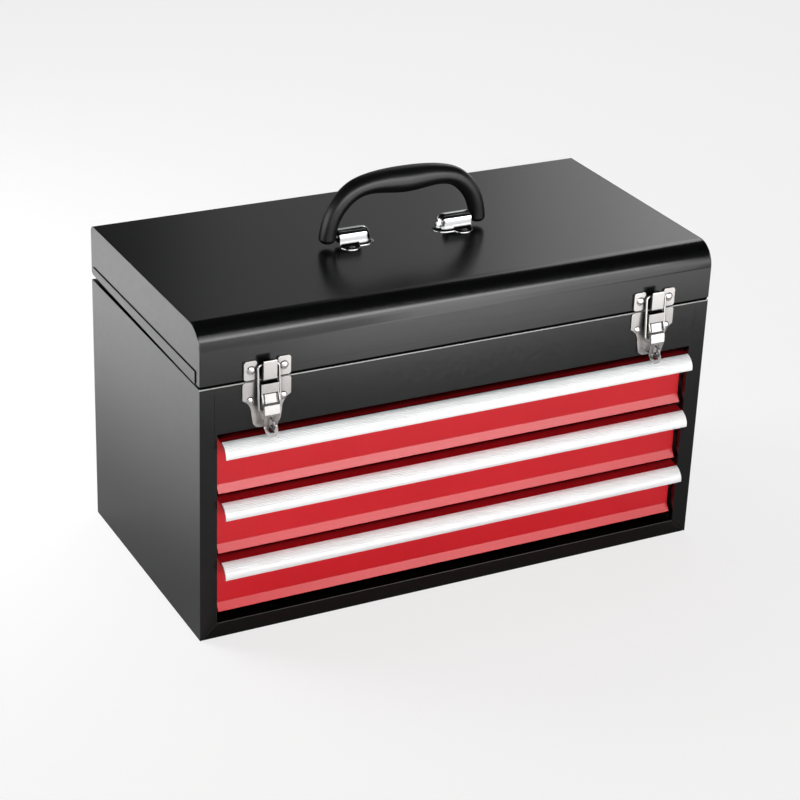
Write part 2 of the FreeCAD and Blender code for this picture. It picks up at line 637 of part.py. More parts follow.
end_plate = prism("end_plate", "x", -hw, -hw + t, [
    (front, lf + 1.0), (hd, lr), (hd, lt - rr, rr, "ccw"), (hd - rr, lt), (front + fr, lt, fr, "ccw"),
    (front, lt - fr)])
end_band = prism("end_band", "x", -hw - t, -hw + 0.2, [
    (front + 8.5, lf + 1.2), (hd - 5.5, lr), (hd - 5.5, 264.4), (front + 8.5, 264.4)])
end_left = fuse("end_left", [end_plate, end_band])
keep(end_left, "lid_end_left")
keep(mirrored("end_right", end_left), "lid_end_right")
keep(lid_leaf_drilled, "hinge_leaf_lid")
keep(together("lid_hinge_rivets", [
    y_rivet("lid_hinge_rivet_%d" % i, x, LID_HINGE_Z, hd + t, hd - t, 1, 3.0) for i, x in enumerate(HINGE_X)]),
    "hinge_rivets_lid")


def keeper(name, s):
    """Latch keeper: two riveted ears and a hooked tongue.  The bail's bar
    drops behind the tongue and bears on its two gussets."""
    x = s * lx
    f = front
    plate = prism(name + "_plate", "y", f - D["keeper_plate"], f, [
        (x - 22.2, 253.4), (x - 20.7, 251.9), (x + 20.7, 251.9), (x + 22.2, 253.4), (x + 22.2, 268.2),
        (x + 20.4, 270), (x + 11.2, 270), (x + 10.0, 268.8), (x + 9.2, 254.6), (x - 9.2, 254.6),
        (x - 10.0, 268.8), (x - 11.2, 270), (x - 20.4, 270), (x - 22.2, 268.2)])
    tf = D["tongue_front"]
    tongue = prism(name + "_tongue", "x", x - D["tongue_half"], x + D["tongue_half"], [
        (f - 0.2, 251.9), (f - 0.2, 253.1), (f - tf + 2.8, 253.1), (f - tf + 1.15, 254.6),
        (f - tf + 1.15, 269.9), (f - tf + 0.5, 270.7), (f - tf + 0.1, 270.3), (f - tf, 269.6),
        (f - tf, 253.4), (f - tf + 1.8, 251.9)])
    gus = [(f - lp + 0.4, 252.4), (f - lp + 0.4, 264.3), (f - tf + 0.6, 264.3), (f - tf + 0.6, 254.0), (f - tf + 2.2, 252.4)]
    ga = prism(name + "_gusset_a", "x", x - D["tongue_half"], x - D["tongue_half"] + 1.1, gus)
    gb = prism(name + "_gusset_b", "x", x + D["tongue_half"] - 1.1, x + D["tongue_half"], gus)
    whole = fuse(name + "_whole", [plate, tongue, ga, gb])
    return drill(name + "_done", whole, [
        ("y", shank_bore, f - 3, f + 1, x - LATCH_U, KEEPER_RIVET_Z),
        ("y", shank_bore, f - 3, f + 1, x + LATCH_U, KEEPER_RIVET_Z)])


keep(keeper("keeper_l", -1), "latch_keeper_left")
keep(keeper("keeper_r", 1), "latch_keeper_right")
keep(together("keeper_rivet_set", [
    y_rivet("keeper_rivet_%d%d" % (i, j), s * lx + u, KEEPER_RIVET_Z, front - D["keeper_plate"], front + 2 * t, -1,
            D["keeper_head"], D["keeper_rise"])
    for i, s in enumerate((-1, 1)) for j, u in enumerate((-LATCH_U, LATCH_U))]), "latch_keeper_rivets")

# ------------------------------------------------------------ carry handle
az = D["handle_z"]
br, bb = D["bracket_radius"], D["bracket_bore"]


def bracket(name):
    """Pressed loop over the handle's pin: arched, with a flared nose at its
    inner end, open at the outer end, with a riveted lobe before and behind."""
    x0, x1, shift, lean = -68.6, -46.0, 4.5, 27.6

    def dome(tag, r, low, x_open):
        nose = doc.addObject("Part::Cylinder", name + tag + "_nose_leg")
        nose.Radius = r.value
        nose.Height = 26
        bind(nose, "Radius", r)
        # turned over and leaned, so that it runs down and inwards
        put(nose, x1, 0, az, FreeCAD.Rotation(FreeCAD.Vector(0, 1, 0), 180 - lean))
        return fuse(name + tag, [
            rod(name + tag + "_arch", "x", r, x_open, x1, 0, az),
            block(name + tag + "_legs", x_open, x1, -r, r, low, az),
            ball(name + tag + "_nose", r, x1, 0, az), nose])
    outer = dome("_outer", br, lt, x0)
    inner = dome("_inner", bb, lt - 8, x0 - 2)
    foot = fuse(name + "_foot", [
        block(name + "_foot_mid", x0, x1 + shift, -9.4, 9.4, lt, lt + 1.2),
        rod(name + "_foot_nose", "z", 9.4, lt, lt + 1.2, x1 + shift, 0),
        rod(name + "_foot_front", "z", 9.8, lt, lt + 1.2, -HX, -8.2),
        rod(name + "_foot_rear", "z", 9.8, lt, lt + 1.2, -HX, 8.2)])
    low = block(name + "_low", -90, -20, -30, 30, lt - 30, lt)
    whole = cut(name + "_hollow", fuse(name + "_solid", [outer, foot]), inner)
    whole = cut(name + "_trim", whole, low)
    return drill(name + "_done", whole, [("z", shank_bore, lt - 1, lt + 3, -HX, -HY),
                                        ("z", shank_bore, lt - 1, lt + 3, -HX, HY)])


bracket_left = bracket("bracket")
keep(bracket_left, "handle_bracket_left")
keep(mirrored("bracket_mirror", bracket_left), "handle_bracket_right")
keep(drill("backing_drilled", block("backing_sheet", -76, 76, -19, 19, lt - 2.6, lt - 1.05),
           [("z", shank_bore, lt - 4, lt, sx * HX, sy * HY) for sx in (-1, 1) for sy in (-1, 1)]),
     "handle_backing_plate")


def z_rivet(name, x, y):
    head, rise = size(2.9), size(1.6)
    cap_r = size((2.9 ** 2 + 1.6 ** 2) / 3.2)
    z0 = lt + 1.2
    return fuse(name, [
        rod(name + "_shank", "z", D["rivet_shank"], lt - 2.6, z0, x, y),
        common(name + "_head", [ball(name + "_dome", cap_r, x, y, z0 + rise - cap_r),
                                rod(name + "_slab", "z", head, z0, z0 + rise + 1, x, y)]),
        rod(name + "_tail", "z", 3.0, lt - 3.8, lt - 2.6, x, y)])


keep(together("bracket_rivet_set", [
    z_rivet("bracket_rivet_%d%d" % (i, j), sx * HX, sy * HY)
    for i, sx in enumerate((-1, 1)) for j, sy in enumerate((-1, 1))]), "handle_bracket_rivets")

# Moulded grip: elliptical sections along its centre line, thickest in the palm.
# (x, z, direction of the centre line in degrees from +X, half height, half width)
GRIP = [
    (-78.4, 313.6, 90, 8.0, 8.0001), (-77.8, 318.5, 87, 8.0, 8.05), (-76.4, 325.0, 80, 8.05, 8.3),
    (-72.4, 336.0, 65, 8.3, 8.7), (-62.6, 349.4, 45, 8.7, 9.4), (-52.0, 357.2, 26, 9.0, 10.0),
    (-38.0, 361.2, 8, 9.6, 10.6), (-19.0, 361.9, 0, 11.4, 11.6), (0.0, 361.4, 0, 12.4, 12.5)]
stations = GRIP + [(-x, z, -d, a, b) for x, z, d, a, b in reversed(GRIP[:-1])]
sections = []
for i, (x, z, d, a, b) in enumerate(stations):
    ell = doc.addObject("Part::Ellipse", "grip_section_%02d" % i)
    ell.MajorRadius = b
    ell.MinorRadius = a
    # local z follows the centre line; the long axis lies across the handle
    along = FreeCAD.Vector(math.cos(math.radians(d)), 0, math.sin(math.radians(d)))
    across = FreeCAD.Vector(0, 1, 0)
    rot = FreeCAD.Rotation(across, along.cross(across), along, "ZXY")
    ell.Placement = FreeCAD.Placement(FreeCAD.Vector(x, 0, z), rot)
    bind(ell, "Placement.Base.z", az + (z - V["handle_z"]))
    bind(ell, "Placement.Base.x", (D["handle_x"] - V["handle_x"]) * (1 if x > 0 else -1 if x < 0 else 0) + x)
    sections.append(ell)
loft = doc.addObject("Part::Loft", "grip_loft")
loft.Sections = sections
loft.Solid = True
loft.Ruled = False
grip_ends = []
for s, side in ((-1, "l"), (1, "r")):
    end = doc.addObject("Part::Ellipsoid", "grip_end_" + side)
    end.Radius1 = 5.6
    end.Radius2 = 8.0
    end.Angle1 = -90
    end.Angle2 = 0
    put(end, s * (D["handle_x"] + 1.4), 0, az)
    grip_ends.append(end)
grip_bore = D["handle_shank"] + 0.02
grip = drill("grip_drilled", fuse("grip_whole", [loft] + grip_ends), [("x", grip_bore, -82.5, -60, 0, az), ("x", grip_bore, 60, 82.5, 0, az)])
keep(grip, "handle_grip")


def handle_pin(name, s):
    if s < 0:
        spans = ((-67.9, -45.5, D["handle_pin"]), (-82.0, -67.9, D["handle_shank"]))
    else:
        spans = ((45.5, 67.9, D["handle_pin"]), (67.9, 82.0, D["handle_shank"]))
    return fuse(name, [rod("%s_%d" % (name, i), "x", r, lo, hi, 0, az) for i, (lo, hi, r) in enumerate(spans)])


keep(handle_pin("pin_l", -1), "handle_pin_left")
keep(handle_pin("pin_r", 1), "handle_pin_right")

# ------------------------------------------------------------- the drawers
fy = D["face_y"]
fh, ph = D["face_half"], D["pull_half"]
pr, pw = D["pull_radius"], D["pull_wall"]
for k, base in enumerate(BASES):
    n = k + 1
    # front: flared lower edge, flat face, ledge sloping forward under the pull
    keep(prism("drawer_face_%d" % n, "x", -fh, fh, [
        (fy - 4.8, base), (fy, base + 7.1), (fy, base + 54.0), (fy - 12.7, base + 51.7),
        (fy - 12.7, base + 52.85), (fy + 1, base + D["drawer_rise"]), (fy + 1, base + 6.8),
        (fy - 3.97, base - 0.56)]), "drawer_front_%d" % n)
    # pull: quarter-round extrusion with a groove that grips the ledge
    cy, cz = -133.3, 41.8
    ri = pr.value - pw.value

    def arc_z(r, y):
        return cz + math.sqrt(r * r - (y - cy) ** 2)

    low_out = cy - math.sqrt(pr.value ** 2 - 1.4 ** 2)
    low_in = cy - math.sqrt(ri ** 2 - 1.4 ** 2)
    keep(prism("drawer_trim_%d" % n, "x", -ph, ph, [
        (-135.4, base + 53.25), (-137.5, base + 52.92), (-137.5, base + 51.6), (-135.0, base + 52.03),
        (-135.0, base + 50.9), (-138.6, base + arc_z(ri, -138.6), ri, "ccw"), (low_in, base + cz - 1.4),
        (low_out, base + cz - 1.4, pr, "cw"), (-135.4, base + arc_z(pr.value, -135.4))]), "drawer_pull_%d" % n)
    th, tw = D["tray_half"], D["tray_wall"]
    keep(cut("drawer_box_%d" % n,
             block("drawer_box_out_%d" % n, -th, th, D["tray_front"], D["tray_rear"],
                   base + D["tray_low"], base + D["tray_high"]),
             block("drawer_box_in_%d" % n, -th + tw, th - tw, D["tray_front"] + tw, D["tray_rear"] - tw,
                   base + D["tray_low"] + tw, base + 60)), "drawer_tray_%d" % n)
    # slide member on each side of the tray
    m = base + D["slide_mid"]
    inner = prism("inner_rail_%d" % n, "y", D["slide_front"] + 3, D["slide_rear"] + 1, [
        (-th - 0.05, m - 10), (-th - 0.05, m + 10), (-oh + 0.7, m + 10), (-oh + 0.7, m + 9), (-th - 1.25, m + 9),
        (-th - 1.25, m - 9), (-oh + 0.7, m - 9), (-oh + 0.7, m - 10)])
    keep(together("inner_rails_%d" % n, [inner, mirrored("inner_rail_r_%d" % n, inner)]), "drawer_rails_%d" % n)
    # ball cage and its balls, halfway between the two members
    c0 = D["cage_front"]
    c1 = D["cage_front"] + D["cage_length"]
    cage = prism("cage_%d" % n, "y", c0, c1, [
        (-oh - 0.7, m - 11.6), (-oh - 0.7, m + 11.6), (-oh + 4.6, m + 11.6), (-oh + 4.6, m + 10.8),
        (-oh, m + 10.8), (-oh, m - 10.8), (-oh + 4.6, m - 10.8), (-oh + 4.6, m - 11.6)])
    ys = [c0 + 5, c0 + 25, c0 + 45, c0 + 65]
    cage = drill("cage_drilled_%d" % n, cage,
                 [("z", 1.3, m - 13, m + 13, -D["ball_x"], y) for y in ys])
    keep(together("cages_%d" % n, [cage, mirrored("cage_r_%d" % n, cage)]), "ball_cages_%d" % n)
    keep(together("balls_set_%d" % n, [
        ball("ball_%d_%d%d%d" % (n, i, j, q), D["ball_radius"], sx * D["ball_x"], y, m + sz * D["ball_height"])
        for i, sx in enumerate((-1, 1)) for j, sz in enumerate((-1, 1)) for q, y in enumerate(ys)]),
        "slide_balls_%d" % n)

# -------------------------------------------------------- check and write
doc.recompute()
faults = []
for obj in doc.Objects:
    if any(word in obj.State for word in ("Invalid", "Error")):
        faults.append("%s: %s" % (obj.Name, obj.State))
for obj in nodes:
    shape = obj.Shape
    if shape.isNull() or not shape.isValid() or not shape.Solids:
        faults.append("%s: no valid solid" % obj.Label)
if faults:
    raise RuntimeError("; ".join(faults))
labels = [obj.Label for obj in nodes]
if len(set(labels)) != len(labels) or len(labels) > 60:
    raise RuntimeError("node labels")

os.makedirs("parts", exist_ok=True)
for obj in nodes:
    shape = obj.Shape
    box = shape.BoundBox
    print("%-24s solids %2d  volume %10.1f  x %8.2f %8.2f  y %8.2f %8.2f  z %8.2f %8.2f" % (
        obj.Label, len(shape.Solids), shape.Volume, box.XMin, box.XMax, box.YMin, box.YMax, box.ZMin, box.ZMax))
    shape.exportStep("parts/%s.step" % obj.Label)
print(len(nodes), "nodes")
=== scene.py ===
import bpy
import bmesh
import json
import math
from mathutils import Vector, Matrix


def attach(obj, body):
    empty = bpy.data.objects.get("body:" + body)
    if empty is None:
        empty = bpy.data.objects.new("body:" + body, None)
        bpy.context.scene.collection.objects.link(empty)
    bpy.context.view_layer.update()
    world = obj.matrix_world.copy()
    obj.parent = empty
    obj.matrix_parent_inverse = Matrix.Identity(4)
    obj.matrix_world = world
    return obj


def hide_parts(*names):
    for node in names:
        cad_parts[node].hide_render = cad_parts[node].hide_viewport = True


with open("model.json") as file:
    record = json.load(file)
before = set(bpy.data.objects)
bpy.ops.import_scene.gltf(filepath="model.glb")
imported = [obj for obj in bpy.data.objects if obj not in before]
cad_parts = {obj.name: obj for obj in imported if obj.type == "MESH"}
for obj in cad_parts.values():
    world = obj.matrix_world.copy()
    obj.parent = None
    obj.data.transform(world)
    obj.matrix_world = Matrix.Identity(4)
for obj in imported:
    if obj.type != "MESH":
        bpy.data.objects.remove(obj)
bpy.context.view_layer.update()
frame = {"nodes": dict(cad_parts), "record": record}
nodes = frame["nodes"]
scene = bpy.context.scene
MM = 0.001


# ------------------------------------------------------------------ camera
def make_camera():
    cam = bpy.data.cameras.new("camera")
    cam.sensor_fit = "HORIZONTAL"
    cam.sensor_width = 36.0
    cam.lens = 36.0 * 2274.05 / 800.0
    cam.clip_start, cam.clip_end = 0.05, 60.0
    cam.dof.use_dof = False
    obj = bpy.data.objects.new("camera", cam)
    scene.collection.objects.link(obj)
    right = Vector((0.89065665, -0.45327839, 0.03562918))
    up = Vector((0.16813193, 0.40114465, 0.90045245))
    ahead = Vector((0.42244809, 0.79600356, -0.43349272))
    m = Matrix.Identity(4)
    for i, v in enumerate((right, up, -ahead)):
        for k in range(3):
            m[k][i] = v[k]
    m.translation = Vector((-927.65441, -1755.57076, 1088.94198)) * MM
    obj.matrix_world = m
    scene.camera = obj


make_camera()
scene.view_settings.view_transform = "Standard"
scene.view_settings.look = "None"
scene.view_settings.exposure = 0.0
scene.view_settings.gamma = 1.0


# --------------------------------------------------------------- materials
class Graph:
    """Short calls for building one material's node tree."""

    def __init__(self, name):
        self.mat = bpy.data.materials.new(name)
        self.mat.use_nodes = True
        self.tree = self.mat.node_tree
        self.tree.nodes.clear()
        self.out = self.node("ShaderNodeOutputMaterial")
        self.bsdf = self.node("ShaderNodeBsdfPrincipled")
        self.link(self.bsdf.outputs["BSDF"], self.out.inputs["Surface"])
        self.coord = self.node("ShaderNodeTexCoord")

    def node(self, kind, **props):
        n = self.tree.nodes.new(kind)
        for k, v in props.items():
            setattr(n, k, v)
        return n

    def link(self, a, b):
        self.tree.links.new(a, b)

    def set(self, **values):
        for k, v in values.items():
            self.bsdf.inputs[k.replace("_", " ")].default_value = v

    def place(self, scale=(1, 1, 1)):
        m = self.node("ShaderNodeMapping")
        m.inputs["Scale"].default_value = scale
        self.link(self.coord.outputs["Object"], m.inputs["Vector"])
        return m.outputs["Vector"]

    def noise(self, scale, detail=3.0, rough=0.55, stretch=(1, 1, 1)):
        n = self.node("ShaderNodeTexNoise")
        n.inputs["Scale"].default_value = scale
        n.inputs["Detail"].default_value = detail
        n.inputs["Roughness"].default_value = rough
        self.link(self.place(stretch), n.inputs["Vector"])
        return n.outputs["Fac"]

    def ramp(self, fac, stops):
        r = self.node("ShaderNodeValToRGB")
        e = r.color_ramp.elements
        while len(e) < len(stops):
            e.new(0.5)
        for el, (pos, col) in zip(e, stops):
            el.position = pos
            el.color = (*col, 1.0) if len(col) == 3 else col
        self.link(fac, r.inputs["Fac"])
        return r.outputs["Color"]

    def span(self, fac, lo, hi):
        """Maps 0..1 noise to lo..hi."""
        m = self.node("ShaderNodeMapRange")
        m.inputs["From Min"].default_value = 0.3
        m.inputs["From Max"].default_value = 0.7
        m.inputs["To Min"].default_value = lo
        m.inputs["To Max"].default_value = hi
        self.link(fac, m.inputs["Value"])
        return m.outputs["Result"]

    def bump(self, height, distance, strength=1.0, below=None):
        b = self.node("ShaderNodeBump")
        b.inputs["Strength"].default_value = strength
        b.inputs["Distance"].default_value = distance
        self.link(height, b.inputs["Height"])
        if below is not None:
            self.link(below, b.inputs["Normal"])
        return b.outputs["Normal"]

    def rounded(self, radius):
        b = self.node("ShaderNodeBevel", samples=4)
        b.inputs["Radius"].default_value = radius
        return b.outputs["Normal"]

    def to(self, socket, name):
        self.link(socket, self.bsdf.inputs[name])


def paint(name, dark, light, rough, peel=0.0000015):
    """Sprayed enamel: slight tone change and fine orange peel."""
    g = Graph(name)
    g.to(g.ramp(g.noise(9.0, 2.0), [(0.3, dark), (0.7, light)]), "Base Color")
    g.to(g.span(g.noise(240.0, 2.0), rough - 0.02, rough + 0.03), "Roughness")
    g.to(g.bump(g.noise(900.0, 2.0, 0.5), peel), "Normal")
    g.set(IOR=1.6)
    return g


def metal(name, dark, light, rough, metallic=1.0, grain=(1, 1, 1), grain_scale=400.0, depth=0.0000015, spread=0.03):
    g = Graph(name)
    g.to(g.ramp(g.noise(60.0, 3.0), [(0.3, dark), (0.7, light)]), "Base Color")
    g.to(g.span(g.noise(grain_scale, 3.0, 0.6, grain), rough - spread, rough + spread), "Roughness")
    g.to(g.bump(g.noise(grain_scale * 1.5, 2.0, 0.6, grain), depth), "Normal")
    g.set(Metallic=metallic)
    return g


def paint_gap_shade(g, reach, floor_tone):
    """Paints shade into the base colour: darker in the narrow gaps between fittings, where ambient occlusion finds
    nearby surfaces.
    """
    base = g.bsdf.inputs["Base Color"].links[0].from_socket
    ao = g.node("ShaderNodeAmbientOcclusion", samples=12)
    ao.inputs["Distance"].default_value = reach
    tone = g.ramp(ao.outputs["AO"], [(0.34, (floor_tone,) * 3), (0.92, (1.0, 1.0, 1.0))])
    # the ramp starts at a third of full openness
    mix = g.node("ShaderNodeMix", data_type="RGBA", blend_type="MULTIPLY")
    mix.inputs["Factor"].default_value = 1.0
    g.link(base, mix.inputs[6])
    g.link(tone, mix.inputs[7])
    g.to(mix.outputs[2], "Base Color")
    return g


M = {}
M["black"] = paint("black_enamel", (0.0018, 0.0022, 0.0020), (0.0028, 0.0033, 0.0031), 0.21).mat


def lid_paint():
    """The lid's enamel; its specular reflection is switched off along the narrow rolled edge over the case, a painted
    shadow line at the seam.
    """
    g = paint("black_enamel_lid", (0.0018, 0.0022, 0.0020), (0.0028, 0.0033, 0.0031), 0.21)
    sep = g.node("ShaderNodeSeparateXYZ")
    g.link(g.coord.outputs["Object"], sep.inputs["Vector"])
    edge = g.node("ShaderNodeMapRange", interpolation_type="SMOOTHSTEP")
    for key, v in (("From Min", 0.2524), ("From Max", 0.2529), ("To Min", 0.0), ("To Max", 0.5)):
        edge.inputs[key].default_value = v
    g.link(sep.outputs["Z"], edge.inputs["Value"])
    # painted shadow: no specular below z 252.4 mm, rising to the normal level by 252.9 mm
    g.to(edge.outputs["Result"], "Specular IOR Level")
    return g.mat


M["lid"] = lid_paint()


def red_front():
    """The drawer fronts' enamel, with painted shade: on the upward-facing ledge behind each pull the base colour is
    darkened by ambient occlusion into the gap over it.
    """
    g = paint("red_enamel", (0.62, 0.012, 0.020), (0.67, 0.015, 0.024), 0.24)
    base = g.bsdf.inputs["Base Color"].links[0].from_socket
    ao = g.node("ShaderNodeAmbientOcclusion", samples=12)
    ao.inputs["Distance"].default_value = 0.012
    deep = g.ramp(ao.outputs["AO"], [(0.30, (0.03, 0.03, 0.03)), (0.56, (1.0, 1.0, 1.0))])
    sep = g.node("ShaderNodeSeparateXYZ")
    g.link(g.coord.outputs["Normal"], sep.inputs["Vector"])
    flat = g.node("ShaderNodeMapRange", interpolation_type="SMOOTHSTEP")
    for key, v in (("From Min", 0.80), ("From Max", 0.92), ("To Min", 0.0), ("To Max", 1.0)):
        flat.inputs[key].default_value = v
    g.link(sep.outputs["Z"], flat.inputs["Value"])
    # painted shade, on the ledge only: the occlusion darkening applies where the normal faces up
    mix = g.node("ShaderNodeMix", data_type="RGBA", blend_type="MULTIPLY")
    g.link(flat.outputs["Result"], mix.inputs["Factor"])
    g.link(base, mix.inputs[6])
    g.link(deep, mix.inputs[7])
    g.to(mix.outputs[2], "Base Color")
    return g.mat


M["red"] = red_front()
M["red_tray"] = paint("red_tray_enamel", (0.45, 0.012, 0.02), (0.52, 0.016, 0.024), 0.36).mat
# nickel plate and rivets: painted shade darkens their base colour in the gaps between parts
M["nickel"] = paint_gap_shade(metal("nickel_plate", (0.67, 0.645, 0.63), (0.73, 0.705, 0.69), 0.22, 0.74,
                            depth=0.0000001, spread=0.006), 0.009, 0.02).mat
M["rivet"] = paint_gap_shade(metal("rivet_nickel_plate", (0.74, 0.72, 0.705), (0.80, 0.78, 0.765), 0.20, 0.85,
                           depth=0.0000001, spread=0.006), 0.0022, 0.10).mat
M["zinc"] = metal("zinc_plate", (0.55, 0.56, 0.57), (0.68, 0.69, 0.7), 0.34, 1.0, (1, 0.06, 1), 500.0).mat
M["ball"] = metal("bearing_steel", (0.7, 0.7, 0.72), (0.8, 0.8, 0.82), 0.12, 1.0).mat
M["steel"] = metal("hinge_steel_finish", (0.46, 0.46, 0.47), (0.58, 0.58, 0.59), 0.32, 1.0, (0.06, 1, 1), 500.0).mat


def paint_upper():
    """The case's enamel, with a painted highlight: a light grey line along the top edge of the front."""
    g = paint("black_enamel_upper", (0.0018, 0.0022, 0.0020), (0.0028, 0.0033, 0.0031), 0.21)
    sep = g.node("ShaderNodeSeparateXYZ")
    g.link(g.coord.outputs["Object"], sep.inputs["Vector"])
    edge = g.node("ShaderNodeMapRange", interpolation_type="SMOOTHSTEP")
    for key, v in (("From Min", 0.24885), ("From Max", 0.24935), ("To Min", 0.0), ("To Max", 1.0)):
        edge.inputs[key].default_value = v
    g.link(sep.outputs["Z"], edge.inputs["Value"])
    base = g.bsdf.inputs["Base Color"].links[0].from_socket
    near = g.node("ShaderNodeMapRange", interpolation_type="SMOOTHSTEP")
    for key, v in (("From Min", -0.1320), ("From Max", -0.1314), ("To Min", 1.0), ("To Max", 0.0)):
        near.inputs[key].default_value = v
    g.link(sep.outputs["Y"], near.inputs["Value"])
    line = g.node("ShaderNodeMath", operation="MULTIPLY")
    g.link(edge.outputs["Result"], line.inputs[0])
    g.link(near.outputs["Result"], line.inputs[1])
    # painted highlight: light grey mixed into the base colour along the front top edge
    mix = g.node("ShaderNodeMix", data_type="RGBA")
    g.link(line.outputs[0], mix.inputs["Factor"])
    g.link(base, mix.inputs[6])
    mix.inputs[7].default_value = (0.62, 0.62, 0.61, 1.0)
    g.to(mix.outputs[2], "Base Color")
    return g.mat


def pull_material():
    """Bright satin aluminium drawn along its length; the end faces get a dark warm brown, a painted reflection."""
    g = Graph("pull_aluminium_finish")
    tone = g.ramp(g.noise(700.0, 3.0, 0.6, (0.03, 1, 1)), [(0.3, (0.86, 0.865, 0.865)), (0.7, (0.93, 0.935, 0.94))])
    sep = g.node("ShaderNodeSeparateXYZ")
    g.link(g.coord.outputs["Object"], sep.inputs["Vector"])
    side = g.node("ShaderNodeMath", operation="ABSOLUTE")
    g.link(sep.outputs["X"], side.inputs[0])
    painted_end = g.node("ShaderNodeMath", operation="GREATER_THAN")
    painted_end.inputs[1].default_value = 0.24057
    g.link(side.outputs[0], painted_end.inputs[0])
    # painted reflection: the end faces take a dark warm brown instead of the aluminium tone
    mix = g.node("ShaderNodeMix", data_type="RGBA")
    g.link(painted_end.outputs[0], mix.inputs["Factor"])
    g.link(tone, mix.inputs[6])
    mix.inputs[7].default_value = (0.20, 0.165, 0.14, 1.0)
    g.to(mix.outputs[2], "Base Color")
    g.to(g.span(g.noise(900.0, 3.0, 0.6, (0.05, 1, 1)), 0.42, 0.50), "Roughness")
    g.to(g.bump(g.noise(1300.0, 2.0, 0.6, (0.02, 1, 1)), 0.000004), "Normal")
    g.set(Metallic=0.30)
    return g.mat


def chrome_material():
    """Mirror chrome, with painted shade: dark grey is mixed in on the upward-facing foot and on forward,
    sideways-facing shoulders above it, standing in for dark reflections.
    """
    g = Graph("chrome_plate")
    tone = g.ramp(g.noise(60.0, 3.0), [(0.3, (0.82, 0.83, 0.84)), (0.7, (0.9, 0.91, 0.92))])
    place = g.node("ShaderNodeSeparateXYZ")
    g.link(g.coord.outputs["Object"], place.inputs["Vector"])
    low = g.node("ShaderNodeMapRange", interpolation_type="SMOOTHSTEP")
    for key, v in (("From Min", 0.3100), ("From Max", 0.3112), ("To Min", 1.0), ("To Max", 0.0)):
        low.inputs[key].default_value = v
    g.link(place.outputs["Z"], low.inputs["Value"])
    facing = g.node("ShaderNodeSeparateXYZ")
    g.link(g.coord.outputs["Normal"], facing.inputs["Vector"])
    up = g.node("ShaderNodeMapRange", interpolation_type="SMOOTHSTEP")
    for key, v in (("From Min", 0.10), ("From Max", 0.40), ("To Min", 0.0), ("To Max", 1.0)):
        up.inputs[key].default_value = v
    g.link(facing.outputs["Z"], up.inputs["Value"])
    rim = g.node("ShaderNodeMapRange", interpolation_type="SMOOTHSTEP")
    for key, v in (("From Min", 0.3061), ("From Max", 0.3064), ("To Min", 0.5), ("To Max", 1.0)):
        rim.inputs[key].default_value = v
    g.link(place.outputs["Z"], rim.inputs["Value"])
    band = g.node("ShaderNodeMath", operation="MULTIPLY")
    g.link(low.outputs["Result"], band.inputs[0])
    g.link(rim.outputs["Result"], band.inputs[1])
    both = g.node("ShaderNodeMath", operation="MULTIPLY")
    g.link(band.outputs[0], both.inputs[0])
    g.link(up.outputs["Result"], both.inputs[1])
    def step(socket, a, b, lo, hi):
        m = g.node("ShaderNodeMapRange", interpolation_type="SMOOTHSTEP")
        for key, v in (("From Min", a), ("From Max", b), ("To Min", lo), ("To Max", hi)):
            m.inputs[key].default_value = v
        g.link(socket, m.inputs["Value"])
        return m.outputs["Result"]

    def combine(kind, one, two):
        m = g.node("ShaderNodeMath", operation=kind)
        g.link(one, m.inputs[0])
        g.link(two, m.inputs[1])
        return m.outputs[0]

    turn = facing.outputs["X"]
    shoulder = combine("MAXIMUM", step(turn, 0.30, 0.46, 0.0, 1.0),
                       combine("MULTIPLY", step(turn, -0.38, -0.28, 1.0, 0.0), step(turn, -0.62, -0.52, 0.0, 1.0)))
    above = step(place.outputs["Z"], 0.3100, 0.3106, 0.0, 1.0)
    forward = step(facing.outputs["Y"], -0.2, 0.1, 1.0, 0.0)
    shade = combine("MAXIMUM", both.outputs[0], combine("MULTIPLY", combine("MULTIPLY", shoulder, above), forward))
    # painted shade: dark grey mixed into the chrome where these masks meet
    mix = g.node("ShaderNodeMix", data_type="RGBA")
    g.link(shade, mix.inputs["Factor"])
    g.link(tone, mix.inputs[6])
    mix.inputs[7].default_value = (0.10, 0.098, 0.095, 1.0)
    g.to(mix.outputs[2], "Base Color")
    g.to(g.span(g.noise(300.0, 2.0), 0.06, 0.10), "Roughness")
    g.set(Metallic=1.0)
    return g.mat


M["pull"] = pull_material()
M["chrome"] = chrome_material()
M["upper"] = paint_upper()


def grip_material():
    """Moulded plastic with a fine sandy grain."""
    g = Graph("grip_plastic_grain")
    g.to(g.ramp(g.noise(30.0, 3.0), [(0.3, (0.0025, 0.0025, 0.0027)), (0.7, (0.0045, 0.0045, 0.0047))]), "Base Color")
    g.to(g.span(g.noise(500.0, 2.0), 0.30, 0.37), "Roughness")
    g.to(g.bump(g.noise(1100.0, 3.0, 0.7), 0.00008), "Normal")
    g.set(IOR=1.5)
    return g.mat


M["grip"] = grip_material()
M["pin"] = metal("pin_dark_steel", (0.035, 0.035, 0.037), (0.055, 0.055, 0.058), 0.30, 1.0).mat
# staples: painted shade darkens their base colour in the gaps between parts
M["staple"] = paint_gap_shade(metal("staple_steel", (0.20, 0.19, 0.185), (0.26, 0.25, 0.24), 0.30, 0.90,
                            depth=0.0000001, spread=0.006), 0.004, 0.10).mat



